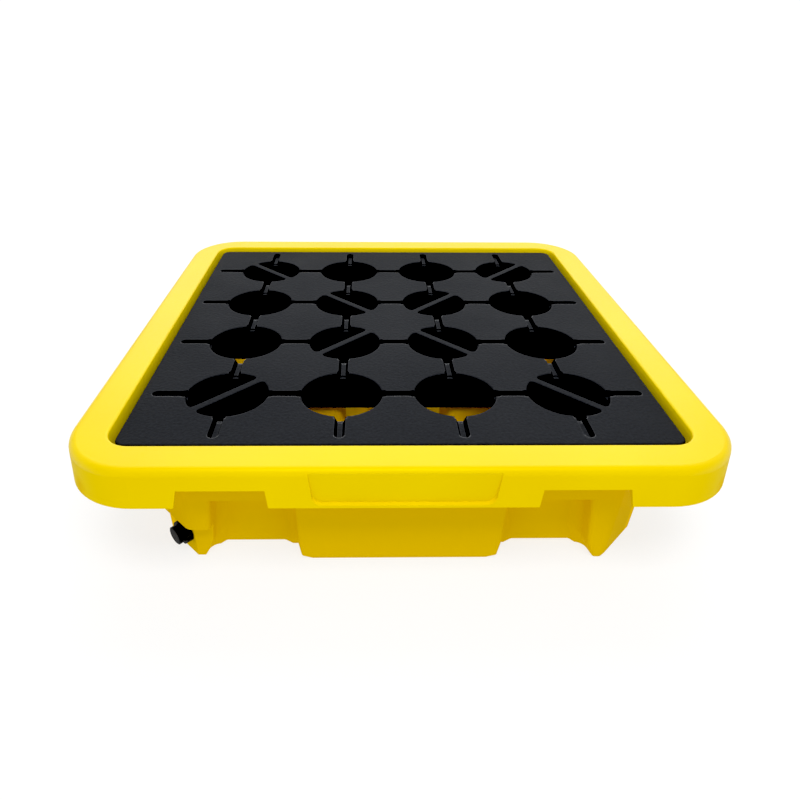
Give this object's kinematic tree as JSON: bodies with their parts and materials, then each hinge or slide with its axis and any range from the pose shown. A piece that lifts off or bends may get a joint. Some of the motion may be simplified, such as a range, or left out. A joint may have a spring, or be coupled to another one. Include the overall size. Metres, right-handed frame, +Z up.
{
  "type": "spill containment pallet",
  "caption": "Low-profile one-drum spill pallet: a moulded sump with rim, hand notches and feet, a lift-out perforated deck, and a screw drain plug at one corner.",
  "frame": {"origin": "middle of the footprint, on the floor", "axes": "+Z up; -Y the front, with the label panel; +X to the right seen from the front; the drain is in the front left corner"},
  "size_m": [0.666, 0.666, 0.1485],
  "materials": {
    "yellow_polyethylene": "satin moulded polyethylene",
    "black_polyethylene": "fine leather-like mould texture",
    "black_fitting": "moulded polypropylene",
    "black_rubber": "matt",
    "black_plug": "moulded polypropylene"
  },
  "bodies": {
    "tray": {"sump": "yellow_polyethylene", "drain_insert": "black_fitting"},
    "deck": {"deck_grate": "black_polyethylene"},
    "gasket": {"plug_gasket": "black_rubber"},
    "plug": {"drain_plug": "black_plug"}
  },
  "joints": [
    {"name": "deck_lift", "type": "slide", "parent": "tray", "child": "deck", "axis": [0, 0, 1], "range_m": [0, 0.12]},
    {"name": "plug_advance", "type": "slide", "parent": "tray", "child": "gasket", "axis": [-0.7071, -0.7071, 0], "range_m": [0, 0.0165]},
    {"name": "plug_turn", "type": "hinge", "parent": "gasket", "child": "plug", "pos_m": [-0.22875, -0.27825, 0.0275], "axis": [-0.7071, -0.7071, 0], "range_deg": [0, 2880]}
  ],
  "couplings": [
    {"joint": "plug_advance", "follows": "plug_turn", "m_per_rad": 0.00028871}
  ]
}
